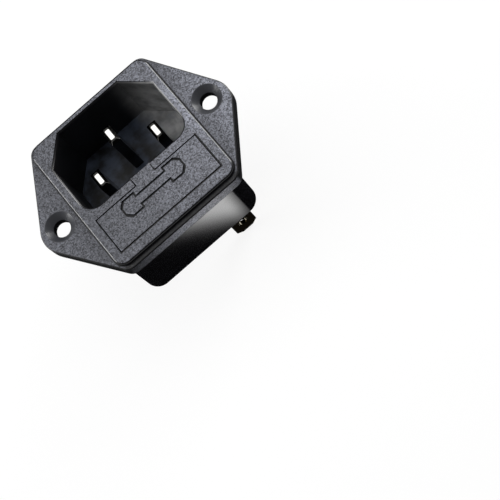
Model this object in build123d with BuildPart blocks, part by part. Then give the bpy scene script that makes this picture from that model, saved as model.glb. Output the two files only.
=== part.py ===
from build123d import *
import os

# Flanged mains inlet with three pins and a fuse drawer.
# X runs along the two fixing screws, Y towards the earth pin, Z out of the front face.
# The origin is midway between the fixing screws, on the rear face of the flange. Millimetres.

# Flange with its two ears
flange_thickness = 3.0
screw_spacing = 36.0
screw_hole_diameter = 3.4
countersink_diameter = 5.9
countersink_angle = 90
flange_height = 32.0
flange_bottom_width = 26.1
flange_top_width = 27.0
ear_tip_width = 46.4
ear_tip_drop = 1.05
ear_tip_radius = 5.0
flange_corner_radius = 2.2
flange_edge_break = 0.2
locating_hole_diameter = 2.4
locating_hole_depth = 2.2
locating_hole_spacing = 25.2
locating_hole_height = 13.6

# Raised front frame
bezel_overhang = 0.75
bezel_top_margin = 0.4
bezel_bottom_margin = 1.0
bezel_rise = 1.0
bezel_corner_radius = 2.4
bezel_edge_round = 0.5
front_face = flange_thickness + bezel_rise

# Housing behind the flange
body_width = 26.7
body_depth = 13.4
body_top_chamfer = 6.0
body_bottom_radius = 3.0
body_rear_break = 0.3

# Socket cavity and its three pins
pin_spacing = 14.0
pin_line_below_bezel_top = 11.7
earth_pin_offset = 4.0
pin_width = 2.0
pin_height = 4.0
pin_tip_taper = 0.5
pin_edge_radius = 0.2
power_pin_recess = 4.7
earth_pin_recess = 1.6
cavity_side_wall = 1.05
cavity_below_bezel_top = 1.25
cavity_height = 16.8
cavity_chamfer = 5.0
cavity_corner_radius = 3.0
cavity_mouth_chamfer = 0.3
rear_wall = 1.4

# Rear contacts: stakes, star-shaped peened heads, plates and tabs
stake_diameter = 2.0
stake_clearance = 0.05
plate_thickness = 0.8
star_tip_radius = 0.85
star_points = 4
head_height = 0.7
head_bevel = 0.25
head_groove_depth = 0.42
head_groove_angle = 45
tab_width = 4.8
tab_thickness = 0.8
tab_distance = 5.05
earth_tab_distance = 4.1
tab_length = 9.6
tab_shoulder_width = 6.2
tab_shoulder_height = 3.0
earth_tab_shoulder_height = 2.2
tab_tip_chamfer = 1.2
tab_hole_diameter = 2.1
tab_hole_from_tip = 4.2
tab_bend_radius = 0.3
earth_tab_bend_radius = 0.8
plate_beyond_stake = 2.2
plate_corner_chamfer = 1.6
star_cusp_round = 0.15
tab_shift = 0.15

# Fuse and its two clips
rivet_below_fuse = 0.475
fuse_end_gap = 0.7
fuse_glass_diameter = 5.0
fuse_glass_bore = 4.0
fuse_cap_diameter = 5.3
fuse_cap_length = 5.0
fuse_cap_end = 0.4
fuse_contact_inset = 2.0
fuse_cap_fit = 0.02
fuse_wire_diameter = 0.2
fuse_rivet_gap = 1.85
clip_width = 4.4
clip_thickness = 0.4
clip_fit = 0.05
clip_reach = 1.6
clip_flare = 0.45
clip_flare_height = 1.2
clip_bend_radius = 0.5
rivet_foot_diameter = 3.2
rivet_foot_thickness = 0.5

# Link from the line pin to the fuse
link_outside_pin = 2.55
link_outside_rivet = 1.55
link_inside_pin = 2.25
link_inside_rivet = 3.25
link_beyond_rivet = 3.85
link_beyond_pin = 1.7
link_lug = 1.1
link_lug_top = 0.1
link_lug_bottom = 4.0
link_corner_radius = 0.6
link_end_chamfer = 1.5

# Fuse drawer
drawer_side_margin = 1.3
drawer_height = 8.15
drawer_above_bezel_bottom = 2.5
drawer_front_thickness = 1.8
drawer_clearance = 0.1
drawer_body_clearance = 0.25
drawer_body_inset = 0.45
drawer_side_wall = 0.9
drawer_floor_gap = 2.6
drawer_long_wall = 0.9
drawer_long_depth = 3.2
drawer_web_thickness = 1.2
drawer_saddle_gap = 1.3
drawer_saddle_wall = 0.8
drawer_saddle_fit = 0.05
drawer_saddle_mouth = 4.4
drawer_edge_break = 0.15
finger_lip_width = 4.6
finger_lip_scoop = 0.7
detent_height = 0.15
detent_radius = 0.45
detent_depth = 7.5
mark_groove_width = 0.4
mark_groove_depth = 0.4
mark_length = 14.4
mark_height = 4.0
mark_end_length = 3.9
mark_barrel_height = 2.3
mark_corner = 1.0
mark_above_centre = 1.575

# Inspection hole in the rear wall
inspection_hole_diameter = 4.6
inspection_below_fuse = 1.575

# Raised ribs on the rear face
rib_height = 0.8
rib_inset = 0.3
rib_plate_gap = 0.35
head_rib_width = 1.45
head_rib_length = 6.1
cross_rib_width = 1.65
cross_rib_length = 6.3
neutral_rib_below_rivet = 2.5
line_rib_below_pin = 3.0
top_rib_thickness = 1.0
top_rib_above_pin = 1.5
top_rib_start = 3.4
top_rib_end = 6.6
top_rib_stub = 1.6
nub_diameter = 1.0
nub_from_middle = 2.95
nub_below_pin = 1.85

# Values worked out from the sizes above
half_pitch = pin_spacing / 2
bezel_top = flange_height / 2 - bezel_top_margin
bezel_bottom = bezel_bottom_margin - flange_height / 2
pin_line_height = bezel_top - pin_line_below_bezel_top
cavity_top = bezel_top - cavity_below_bezel_top
cavity_bottom = cavity_top - cavity_height
earth_pin_height = pin_line_height + earth_pin_offset
cavity_floor = rear_wall - body_depth
rear_face = -body_depth
plate_rear = rear_face - plate_thickness
bezel_width = body_width + 2 * bezel_overhang
cavity_width = body_width - 2 * cavity_side_wall
drawer_width = body_width - 2 * drawer_side_margin
tray_width = drawer_width - 2 * drawer_body_inset
fuse_length = tray_width - 2 * drawer_side_wall - 2 * fuse_end_gap
half_contacts = fuse_length / 2 - fuse_contact_inset
saddle_width = fuse_length - 2 * fuse_cap_length - 2 * drawer_saddle_gap
drawer_bottom = bezel_bottom + drawer_above_bezel_bottom
drawer_top = drawer_bottom + drawer_height
drawer_centre = drawer_bottom + drawer_height / 2
fuse_rivet_height = drawer_centre - rivet_below_fuse
mark_centre_height = drawer_centre + mark_above_centre
inspection_hole_height = drawer_centre - inspection_below_fuse
drawer_seat = front_face - drawer_front_thickness
tray_height = drawer_height - 2 * drawer_body_inset
lip_height = cavity_bottom - drawer_top
fuse_level = cavity_floor + clip_thickness + rivet_foot_thickness + fuse_rivet_gap + fuse_cap_diameter / 2
fuse_centre = (drawer_centre, fuse_level)
drawer_side_depth = drawer_seat - cavity_floor - drawer_floor_gap
rib_edge = body_width / 2 - rib_inset
neutral_tab_centre = half_pitch - tab_shift
line_tab_centre = half_contacts - tab_shift
half_shoulder = tab_shoulder_width / 2
pin_plate_end = pin_line_height + plate_beyond_stake + rib_plate_gap
line_plate_end = fuse_rivet_height + plate_beyond_stake + rib_plate_gap
side_rib_top = pin_plate_end + head_rib_width
cross_rib_top = line_plate_end + cross_rib_width
neutral_rib_bottom = fuse_rivet_height - neutral_rib_below_rivet
line_rib_bottom = pin_line_height - line_rib_below_pin
top_rib_height = earth_pin_height + top_rib_above_pin
link_side = max(half_pitch + link_outside_pin, half_contacts + link_outside_rivet)
pin_places = {
    "neutral": (half_pitch, pin_line_height),
    "line": (-half_pitch, pin_line_height),
    "earth": (0, earth_pin_height),
}
contact_places = {
    "tab": (half_contacts, fuse_rivet_height),
    "link": (-half_contacts, fuse_rivet_height),
}
stake_places = [*pin_places.values(), *contact_places.values()]


def export_piece(piece, name):
    """Label one finished piece and write its STEP file."""
    piece.part.label = name
    export_step(piece.part, f"parts/{name}.step")


def ear_outline():
    """Corner points of the flange, clockwise from the lower right."""
    half = flange_height / 2
    return [
        (flange_bottom_width / 2, -half),
        (-flange_bottom_width / 2, -half),
        (-ear_tip_width / 2, -ear_tip_drop),
        (-flange_top_width / 2, half),
        (flange_top_width / 2, half),
        (ear_tip_width / 2, -ear_tip_drop),
    ]


def socket_outline(width, height, chamfer_size, radius):
    """Outline with two chamfered corners on the earth side and two rounded ones."""
    with BuildSketch() as outline:
        Rectangle(width, height)
        upper = outline.vertices().group_by(Axis.Y)[-1]
        chamfer(upper, chamfer_size)
        lower = outline.vertices().group_by(Axis.Y)[0]
        fillet(lower, radius)
    return outline.sketch


def star_head():
    """Outline of a head that is peened over in a star, with lobes round its middle."""
    with BuildSketch() as outline:
        Circle(stake_diameter / 2)
        with PolarLocations(stake_diameter / 2, star_points):
            Circle(star_tip_radius)
        fillet(outline.vertices(), star_cusp_round)
    return outline.sketch


def fuse_mark(shrink):
    """Outline of a fuse: a barrel between two ends with cut corners."""
    with BuildSketch() as outline:
        Rectangle(mark_length - 2 * shrink, mark_height - 2 * shrink)
        chamfer(outline.vertices(), mark_corner)
        barrel_gap = (mark_height - mark_barrel_height) / 2
        barrel_length = mark_length - 2 * mark_end_length + 2 * shrink
        for side in (1, -1):
            with Locations((0, side * (mark_height / 2 - barrel_gap / 2))):
                Rectangle(barrel_length, barrel_gap + 2 * shrink, mode=Mode.SUBTRACT)
    return outline.sketch


def make_stake(place, start):
    """Build a round stake from the height start through the wall, and its cross-peened head."""
    with BuildPart() as stake:
        with BuildSketch(Plane.XY.offset(plate_rear)):
            with Locations(place):
                add(star_head())
        extrude(amount=-head_height)
        chamfer(faces().sort_by(Axis.Z)[0].edges(), head_bevel)
        with BuildSketch(Plane.XY.offset(start)):
            with Locations(place):
                Circle(stake_diameter / 2)
        extrude(amount=plate_rear - start)
        x, y = place
        groove = head_groove_depth * 2 ** 0.5
        with Locations((x, y, plate_rear - head_height)):
            with PolarLocations(0, 2, start_angle=head_groove_angle, angular_range=180):
                Box(2 * stake_diameter, groove, groove, rotation=(45, 0, 0), mode=Mode.SUBTRACT)
    return stake.part


def make_pin(place, recess):
    """Build one pin: blade with a tapered tip, stake and peened head."""
    tip = front_face - recess
    stake = make_stake(place, cavity_floor)
    with BuildPart() as pin:
        with BuildSketch(Plane.XY.offset(cavity_floor)):
            with Locations(place):
                RectangleRounded(pin_width, pin_height, pin_edge_radius)
        extrude(amount=tip - pin_tip_taper - cavity_floor)
        with BuildSketch(Plane.XY.offset(tip - pin_tip_taper)):
            with Locations(place):
                RectangleRounded(pin_width, pin_height, pin_edge_radius)
        with BuildSketch(Plane.XY.offset(tip)):
            with Locations(place):
                RectangleRounded(
                    pin_width - 2 * pin_tip_taper, pin_height - 2 * pin_tip_taper, pin_edge_radius
                )
        loft()
        add(stake)
    return pin


def make_tab(place, centre, outer, bend_radius, shoulder_height):
    """Build one tab: a plate under the stake's head, a bend and an upright blade with a hole."""
    x, y = place
    side = 1 if outer > y else -1
    inner = outer - side * tab_thickness
    far = y - side * plate_beyond_stake
    tip = plate_rear - tab_length
    shoulder = plate_rear - shoulder_height
    with BuildPart() as tab:
        with BuildSketch(Plane.YZ.offset(centre)):
            with BuildLine():
                Polyline(
                    (far, rear_face),
                    (outer, rear_face),
                    (outer, tip),
                    (inner, tip),
                    (inner, plate_rear),
                    (far, plate_rear),
                    close=True,
                )
            make_face()
            fillet(vertices().sort_by_distance((outer, rear_face, 0))[0], bend_radius + tab_thickness)
            fillet(vertices().sort_by_distance((inner, plate_rear, 0))[0], bend_radius)
        extrude(amount=half_shoulder, both=True)
        far_corners = edges().filter_by(Axis.Z).sort_by(Axis.Y, reverse=side < 0)[:2]
        chamfer(far_corners, plate_corner_chamfer)
        with BuildSketch(Plane.XZ.offset(-outer)):
            side_strip = half_shoulder - tab_width / 2
            for flank in (1, -1):
                with Locations((centre + flank * (half_shoulder - side_strip / 2), (tip + shoulder) / 2)):
                    Rectangle(side_strip, shoulder - tip)
        extrude(amount=tab_thickness, both=True, mode=Mode.SUBTRACT)
        tip_corners = edges().filter_by(Axis.Y).group_by(Axis.Z)[0]
        chamfer(tip_corners, tab_tip_chamfer)
        with BuildSketch(Plane.XZ.offset(-outer)):
            with Locations((centre, tip + tab_hole_from_tip)):
                Circle(tab_hole_diameter / 2)
        extrude(amount=tab_thickness, both=True, mode=Mode.SUBTRACT)
        with Locations((x, y, rear_face)):
            Hole(stake_diameter / 2 + stake_clearance, depth=2 * plate_thickness)
    return tab


def make_clip(place):
    """Build one spring clip: a riveted base and two arms that flare at their ends."""
    x, y = place
    middle = fuse_centre[0]
    half_gap = fuse_cap_diameter / 2 + clip_fit
    half_out = half_gap + clip_thickness
    base = cavity_floor + clip_thickness
    bend = fuse_centre[1] + clip_reach
    end = bend + clip_flare_height
    with BuildPart() as clip:
        with BuildSketch(Plane.YZ.offset(x)):
            with BuildLine():
                Polyline(
                    (middle - half_out, cavity_floor),
                    (middle + half_out, cavity_floor),
                    (middle + half_out, bend),
                    (middle + half_out + clip_flare, end),
                    (middle + half_gap + clip_flare, end),
                    (middle + half_gap, bend),
                    (middle + half_gap, base),
                    (middle - half_gap, base),
                    (middle - half_gap, bend),
                    (middle - half_gap - clip_flare, end),
                    (middle - half_out - clip_flare, end),
                    (middle - half_out, bend),
                    close=True,
                )
            make_face()
            fillet(vertices().group_by(Axis.Y)[1], clip_bend_radius)
            fillet(vertices().group_by(Axis.Y)[0], clip_bend_radius + clip_thickness)
        extrude(amount=clip_width / 2, both=True)
        with Locations((x, y, base)):
            Hole(stake_diameter / 2 + stake_clearance, depth=2 * clip_thickness)
    return clip


def make_rivet(place):
    """Build one contact rivet: a round foot on the clip, a stake and a peened head."""
    foot = cavity_floor + clip_thickness
    stake = make_stake(place, foot)
    with BuildPart() as rivet:
        with BuildSketch(Plane.XY.offset(foot)):
            with Locations(place):
                Circle(rivet_foot_diameter / 2)
        extrude(amount=rivet_foot_thickness)
        add(stake)
    return rivet


def make_cap(side):
    """Build one end cap of the fuse, a cup that covers the end of the glass."""
    outer_end = side * fuse_length / 2
    with BuildPart() as cap:
        with BuildSketch(Plane.YZ.offset(outer_end)):
            with Locations(fuse_centre):
                Circle(fuse_cap_diameter / 2)
        extrude(amount=-side * fuse_cap_length)
        with BuildSketch(Plane.YZ.offset(outer_end - side * fuse_cap_end)):
            with Locations(fuse_centre):
                Circle(fuse_glass_diameter / 2 + fuse_cap_fit)
        extrude(amount=-side * fuse_cap_length, mode=Mode.SUBTRACT)
    return cap


os.makedirs("parts", exist_ok=True)

# Moulded housing: flange, raised frame, socket, fuse compartment and rear ribs
with BuildPart() as housing:
    with BuildSketch():
        with BuildLine():
            Polyline(*ear_outline(), close=True)
        make_face()
        corners = vertices().group_by(Axis.X)
        fillet([corners[0][0], corners[-1][0]], ear_tip_radius)
        square_corners = vertices().group_by(Axis.Y)
        fillet(square_corners[0] + square_corners[-1], flange_corner_radius)
    extrude(amount=flange_thickness)
    chamfer(faces().sort_by(Axis.Z)[-1].edges(), flange_edge_break)

    with BuildSketch(Plane.XY.offset(flange_thickness)):
        with Locations((0, (bezel_top + bezel_bottom) / 2)):
            RectangleRounded(bezel_width, bezel_top - bezel_bottom, bezel_corner_radius)
    extrude(amount=bezel_rise)
    fillet(faces().sort_by(Axis.Z)[-1].edges(), bezel_edge_round)

    with BuildSketch():
        add(socket_outline(body_width, flange_height, body_top_chamfer, body_bottom_radius))
    extrude(amount=-body_depth)
    chamfer(faces().sort_by(Axis.Z)[0].edges(), body_rear_break)

    # Socket cavity with a broken edge at its mouth
    with BuildSketch(Plane.XY.offset(front_face)):
        with Locations((0, cavity_bottom + cavity_height / 2)):
            add(socket_outline(cavity_width, cavity_height, cavity_chamfer, cavity_corner_radius))
    extrude(amount=cavity_floor - front_face, mode=Mode.SUBTRACT)
    mouth = faces().sort_by(Axis.Z)[-1].inner_wires()
    chamfer(mouth[0].edges(), cavity_mouth_chamfer)

    # Fuse compartment: a seat for the drawer's front and a deeper space behind it
    with BuildSketch(Plane.XY.offset(front_face)):
        with Locations((0, drawer_centre)):
            Rectangle(drawer_width + 2 * drawer_clearance, drawer_height + 2 * drawer_clearance)
    extrude(amount=-drawer_front_thickness, mode=Mode.SUBTRACT)
    with BuildSketch(Plane.XY.offset(drawer_seat)):
        with Locations((0, drawer_centre)):
            Rectangle(tray_width + 2 * drawer_body_clearance, tray_height + 2 * drawer_body_clearance)
    extrude(amount=cavity_floor - drawer_seat, mode=Mode.SUBTRACT)
    with BuildSketch(Plane.XY.offset(front_face)):
        with Locations((0, drawer_top + lip_height / 2)):
            Rectangle(finger_lip_width + 2 * drawer_clearance, lip_height + 2 * cavity_mouth_chamfer)
    extrude(amount=-drawer_front_thickness, mode=Mode.SUBTRACT)

    # Ribs on the rear face: a pocket round each plate, and a wall beside the link
    with BuildSketch(Plane.XY.offset(rear_face)):
        with BuildLine():
            Polyline(
                (rib_edge, side_rib_top),
                (rib_edge, neutral_rib_bottom),
                (line_tab_centre + half_shoulder + rib_plate_gap, neutral_rib_bottom),
                (line_tab_centre + half_shoulder + rib_plate_gap, line_plate_end),
                (rib_edge - cross_rib_length, line_plate_end),
                (rib_edge - cross_rib_length, cross_rib_top),
                (neutral_tab_centre + half_shoulder + rib_plate_gap, cross_rib_top),
                (neutral_tab_centre + half_shoulder + rib_plate_gap, pin_plate_end - plate_corner_chamfer),
                (neutral_tab_centre + half_shoulder - plate_corner_chamfer, pin_plate_end),
                (rib_edge - head_rib_length, pin_plate_end),
                (rib_edge - head_rib_length, side_rib_top),
                close=True,
            )
        make_face()
        with BuildLine():
            Polyline(
                (-rib_edge, side_rib_top),
                (head_rib_length - rib_edge, side_rib_top),
                (head_rib_length - rib_edge, pin_plate_end),
                (-link_side - rib_plate_gap, pin_plate_end),
                (-link_side - rib_plate_gap, line_rib_bottom),
                (-rib_edge, line_rib_bottom),
                close=True,
            )
        make_face()
        for side in (1, -1):
            with Locations((side * (top_rib_start + top_rib_end) / 2, top_rib_height)):
                Rectangle(top_rib_end - top_rib_start, top_rib_thickness)
            with Locations((side * (top_rib_end - top_rib_thickness), top_rib_height + top_rib_stub / 2)):
                Rectangle(top_rib_thickness, top_rib_stub)
        with Locations((-nub_from_middle, pin_line_height - nub_below_pin)):
            Circle(nub_diameter / 2)
    extrude(amount=-rib_height)

    # Passages for the stakes, the contact rivets and the inspection hole
    with Locations(*[(x, y, rear_face) for x, y in stake_places]):
        Hole(stake_diameter / 2 + stake_clearance, depth=4 * rear_wall)
    with Locations((0, inspection_hole_height, rear_face)):
        Hole(inspection_hole_diameter / 2, depth=4 * rear_wall)

    # Screw holes, countersunk from the front, and blind locating holes in the rear
    with Locations((screw_spacing / 2, 0, flange_thickness), (-screw_spacing / 2, 0, flange_thickness)):
        CounterSinkHole(screw_hole_diameter / 2, countersink_diameter / 2, counter_sink_angle=countersink_angle)
    with BuildSketch():
        with Locations((locating_hole_spacing / 2, locating_hole_height)):
            Circle(locating_hole_diameter / 2)
        with Locations((-locating_hole_spacing / 2, locating_hole_height)):
            Circle(locating_hole_diameter / 2)
    extrude(amount=locating_hole_depth, mode=Mode.SUBTRACT)
export_piece(housing, "housing")

# Three pins, staked through the rear wall
export_piece(make_pin(pin_places["neutral"], power_pin_recess), "pin_neutral")
export_piece(make_pin(pin_places["line"], power_pin_recess), "pin_line")
export_piece(make_pin(pin_places["earth"], earth_pin_recess), "pin_earth")

# Three tabs for push-on terminals: the earth tab stands above its pin, the others below
neutral_face = pin_line_height - tab_distance
tab_neutral = make_tab(
    pin_places["neutral"], neutral_tab_centre, neutral_face, tab_bend_radius, tab_shoulder_height
)
earth_face = earth_pin_height + earth_tab_distance
tab_earth = make_tab(
    pin_places["earth"], 0, earth_face, earth_tab_bend_radius, earth_tab_shoulder_height
)
line_face = fuse_rivet_height - tab_distance
tab_fused_line = make_tab(
    contact_places["tab"], line_tab_centre, line_face, tab_bend_radius, tab_shoulder_height
)
export_piece(tab_neutral, "tab_neutral")
export_piece(tab_earth, "tab_earth")
export_piece(tab_fused_line, "tab_fused_line")

# Link that carries the line pin's current to the fuse
with BuildPart() as line_link:
    pin_x, pin_y = pin_places["line"]
    rivet_x, rivet_y = contact_places["link"]
    inner_side = max(pin_x + link_inside_pin, rivet_x + link_inside_rivet)
    with BuildSketch(Plane.XY.offset(rear_face)):
        with BuildLine():
            Polyline(
                (-link_side, rivet_y - link_beyond_rivet),
                (inner_side, rivet_y - link_beyond_rivet),
                (inner_side, pin_y - link_lug_bottom),
                (inner_side + link_lug, pin_y - link_lug_bottom),
                (inner_side + link_lug, pin_y - link_lug_top),
                (inner_side + link_lug - link_beyond_pin, pin_y + link_beyond_pin),
                (-link_side, pin_y + link_beyond_pin),
                close=True,
            )
        make_face()
        fillet(vertices().group_by(Axis.Y)[0], link_corner_radius)
        top_left = vertices().sort_by_distance((-link_side, pin_y + link_beyond_pin, 0))[0]
        chamfer(top_left, link_end_chamfer)
    extrude(amount=-plate_thickness)
    with Locations((pin_x, pin_y, rear_face), (rivet_x, rivet_y, rear_face)):
        Hole(stake_diameter / 2 + stake_clearance, depth=2 * plate_thickness)
export_piece(line_link, "line_link")

# Spring clips for the fuse, and the rivets that join them to the link and the tab
export_piece(make_clip(contact_places["link"]), "fuse_clip_supply")
export_piece(make_clip(contact_places["tab"]), "fuse_clip_load")
export_piece(make_rivet(contact_places["link"]), "clip_rivet_supply")
export_piece(make_rivet(contact_places["tab"]), "clip_rivet_load")

# Drawer: a front plate with a finger lip, two side walls and a saddle that grips the fuse
with BuildPart() as fuse_drawer:
    with BuildSketch(Plane.XY.offset(drawer_seat)):
        with Locations((0, drawer_centre)):
            Rectangle(drawer_width, drawer_height)
        with Locations((0, drawer_top + lip_height / 2)):
            Rectangle(finger_lip_width, lip_height)
    extrude(amount=drawer_front_thickness)
    chamfer(faces().sort_by(Axis.Z)[-1].edges(), drawer_edge_break)
    lip_edge = edges().filter_by(Axis.X).group_by(Axis.Z)[0].sort_by(Axis.Y)[-1]
    chamfer(lip_edge, finger_lip_scoop)

    with BuildSketch(Plane.XY.offset(front_face)):
        with Locations((0, mark_centre_height)):
            add(fuse_mark(0))
            add(fuse_mark(mark_groove_width), mode=Mode.SUBTRACT)
    extrude(amount=-mark_groove_depth, mode=Mode.SUBTRACT)

    with BuildSketch(Plane.XY.offset(drawer_seat)):
        for side in (1, -1):
            with Locations((side * (tray_width - drawer_side_wall) / 2, drawer_centre)):
                Rectangle(drawer_side_wall, tray_height)
    extrude(amount=-drawer_side_depth)
    with BuildSketch(Plane.XY.offset(drawer_seat)):
        with Locations((0, drawer_centre)):
            Rectangle(tray_width, tray_height)
            Rectangle(
                tray_width - 2 * drawer_side_wall, tray_height - 2 * drawer_long_wall, mode=Mode.SUBTRACT
            )
    extrude(amount=-drawer_long_depth)
    for side in (1, -1):
        detent_x = side * (tray_width / 2 - detent_radius + detent_height)
        with Locations((detent_x, drawer_centre, front_face - detent_depth)):
            Cylinder(detent_radius, tray_height, rotation=(90, 0, 0))

    with BuildSketch(Plane.YZ):
        saddle_bore = fuse_glass_diameter / 2 + drawer_saddle_fit
        with Locations(fuse_centre):
            Circle(saddle_bore + drawer_saddle_wall)
        web_length = drawer_seat - fuse_centre[1]
        with Locations((drawer_centre, fuse_centre[1] + web_length / 2)):
            Rectangle(drawer_web_thickness, web_length)
        with Locations(fuse_centre):
            Circle(saddle_bore, mode=Mode.SUBTRACT)
        with Locations((drawer_centre, fuse_centre[1] - fuse_glass_diameter / 2)):
            Rectangle(drawer_saddle_mouth, fuse_glass_diameter, mode=Mode.SUBTRACT)
    extrude(amount=saddle_width / 2, both=True)
export_piece(fuse_drawer, "fuse_drawer")

# Cartridge fuse: glass tube, two caps and the wire between them
with BuildPart() as fuse_glass:
    with BuildSketch(Plane.YZ):
        with Locations(fuse_centre):
            Circle(fuse_glass_diameter / 2)
            Circle(fuse_glass_bore / 2, mode=Mode.SUBTRACT)
    extrude(amount=fuse_length / 2 - fuse_cap_end, both=True)
export_piece(fuse_glass, "fuse_glass")

export_piece(make_cap(-1), "fuse_cap_supply")
export_piece(make_cap(1), "fuse_cap_load")

with BuildPart() as fuse_wire:
    with BuildSketch(Plane.YZ):
        with Locations(fuse_centre):
            Circle(fuse_wire_diameter / 2)
    extrude(amount=fuse_length / 2 - fuse_cap_end, both=True)
export_piece(fuse_wire, "fuse_wire")
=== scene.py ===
import logging
import math
from dataclasses import dataclass, field
from enum import Enum

import bmesh
import bpy
from mathutils import Matrix, Vector


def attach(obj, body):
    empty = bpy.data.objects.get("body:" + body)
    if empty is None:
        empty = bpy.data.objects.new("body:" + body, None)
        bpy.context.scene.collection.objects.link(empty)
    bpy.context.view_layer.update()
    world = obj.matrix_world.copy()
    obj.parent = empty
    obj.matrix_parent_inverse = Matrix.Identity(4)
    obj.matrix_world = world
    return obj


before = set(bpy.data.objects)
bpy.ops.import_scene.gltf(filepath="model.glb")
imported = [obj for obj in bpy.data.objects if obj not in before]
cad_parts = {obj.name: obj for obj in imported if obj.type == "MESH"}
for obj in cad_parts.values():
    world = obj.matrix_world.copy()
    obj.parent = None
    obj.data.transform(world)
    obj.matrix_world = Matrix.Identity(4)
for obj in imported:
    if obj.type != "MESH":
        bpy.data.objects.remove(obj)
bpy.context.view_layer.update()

logging.basicConfig(level=logging.INFO, format="%(message)s")
LOG = logging.getLogger("inlet")

MM = 0.001
INLET = "inlet"
PIN_PLACES = ((7.0, 3.9), (-7.0, 3.9), (0.0, 7.9))  # neutral, line and earth, X and Y in millimetres
CLIP_RIVET_PLACES = ((8.0, -8.9), (-8.0, -8.9))
VECTOR = "NodeSocketVector"
FLOAT = "NodeSocketFloat"
GEOMETRY = "NodeSocketGeometry"
Tree = bpy.types.NodeTree
Node = bpy.types.Node
Socket = bpy.types.NodeSocket
Material = bpy.types.Material
Pair = tuple[float, float]
Triple = tuple[float, float, float]
Colour = Triple
Fade = Pair  # the value where a mask starts and the value where it is full


# Node helpers

def add_node(tree: Tree, kind: str, **settings: object) -> Node:
    """Adds one node and sets its properties.

    Args:
        tree: the node tree that receives it.
        kind: the node's type name.
        settings: property names and values.

    Returns:
        The new node.
    """
    node = tree.nodes.new(kind)
    for name, value in settings.items():
        setattr(node, name, value)
    return node


def put(tree: Tree, socket: Socket, source: object) -> None:
    """Feeds a socket from another socket, or sets it to a constant.

    Args:
        tree: the tree that holds both.
        socket: the input to feed.
        source: an output socket, a number or a tuple.
    """
    if isinstance(source, Socket):
        tree.links.new(source, socket)
    elif isinstance(source, tuple) and len(source) == 3 and socket.type == "RGBA":
        socket.default_value = (*source, 1.0)
    else:
        socket.default_value = source


def feed(tree: Tree, node: Node, *sources: object) -> Socket:
    """Feeds a node's inputs in order and returns its first output.

    Args:
        tree: the tree to build in.
        node: the node to feed.
        sources: sockets or constants, one for each input.

    Returns:
        The node's first output.
    """
    for socket, source in zip(node.inputs, sources):
        put(tree, socket, source)
    return node.outputs[0]


def feed_by_name(tree: Tree, node: Node, sources: dict[str, object]) -> Node:
    """Feeds a node's inputs by name and returns the node.

    Args:
        tree: the tree to build in.
        node: the node to feed.
        sources: input name to socket or constant.

    Returns:
        The node itself.
    """
    for name, source in sources.items():
        put(tree, node.inputs[name], source)
    return node


def maths(tree: Tree, operation: str, *inputs: object, clamp: bool = False) -> Socket:
    """Adds a Math node and returns its value."""
    return feed(tree, add_node(tree, "ShaderNodeMath", operation=operation, use_clamp=clamp), *inputs)


def vector_maths(tree: Tree, operation: str, *inputs: object) -> Socket:
    """Adds a Vector Math node and returns its vector."""
    return feed(tree, add_node(tree, "ShaderNodeVectorMath", operation=operation), *inputs)


def axes(tree: Tree, vector: Socket) -> tuple[Socket, ...]:
    """Splits a vector into X, Y and Z.

    Args:
        tree: the tree to build in.
        vector: the vector to split.

    Returns:
        Its three numbers.
    """
    node = add_node(tree, "ShaderNodeSeparateXYZ")
    feed(tree, node, vector)
    return tuple(node.outputs)


def ramp(tree: Tree, value: object, low: float, high: float, start: object = 0.0,
         end: object = 1.0, smooth: bool = True) -> Socket:
    """Maps a value between two limits onto another range.

    Args:
        tree: the tree to build in.
        value: the value to map.
        low: the value that gives start.
        high: the value that gives end.
        start: the result at low.
        end: the result at high.
        smooth: eases both ends.

    Returns:
        The mapped value.
    """
    node = add_node(tree, "ShaderNodeMapRange", clamp=True)
    node.interpolation_type = "SMOOTHSTEP" if smooth else "LINEAR"
    limits = {"Value": value, "From Min": low, "From Max": high, "To Min": start, "To Max": end}
    return feed_by_name(tree, node, limits).outputs["Result"]


def fade(tree: Tree, value: object, limits: Fade, start: object = 0.0, end: object = 1.0) -> Socket:
    """Eases a length from start to end between two limits in millimetres."""
    return ramp(tree, value, limits[0] * MM, limits[1] * MM, start, end)


def product(tree: Tree, first: object, *others: object) -> Socket:
    """Multiplies values in turn.

    Args:
        tree: the tree to build in.
        first: the first factor.
        others: the other factors.

    Returns:
        The product.
    """
    for other in others:
        first = maths(tree, "MULTIPLY", first, other)
    return first


def diagonal(tree: Tree, across: Socket, along: Socket) -> Socket:
    """Returns the length of the diagonal of two lengths at right angles."""
    return maths(tree, "SQRT", maths(tree, "ADD", product(tree, across, across), product(tree, along, along)))


def without(tree: Tree, mask: object) -> Socket:
    """Turns a mask round: one where it is zero."""
    return maths(tree, "SUBTRACT", 1.0, mask)


def blend_colour(tree: Tree, factor: object, first: object, second: object, blend: str = "MIX") -> Socket:
    """Mixes two colours by a factor and returns the colour.

    Args:
        tree: the tree to build in.
        factor: how much of the second colour shows, from 0 to 1.
        first: a colour.
        second: the other colour.
        blend: the way of mixing.

    Returns:
        The mixed colour.
    """
    node = add_node(tree, "ShaderNodeMix", data_type="RGBA", blend_type=blend)
    for place, source in ((0, factor), (6, first), (7, second)):
        put(tree, node.inputs[place], source)
    return node.outputs[2]


def blend_value(tree: Tree, factor: object, first: object, second: object) -> Socket:
    """Mixes two numbers by a factor and returns the number.

    Args:
        tree: the tree to build in.
        factor: how much of the second number counts, from 0 to 1.
        first: a number.
        second: the other number.

    Returns:
        The mixed number.
    """
    node = add_node(tree, "ShaderNodeMix", data_type="FLOAT")
    for place, source in ((0, factor), (2, first), (3, second)):
        put(tree, node.inputs[place], source)
    return node.outputs[0]


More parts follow.
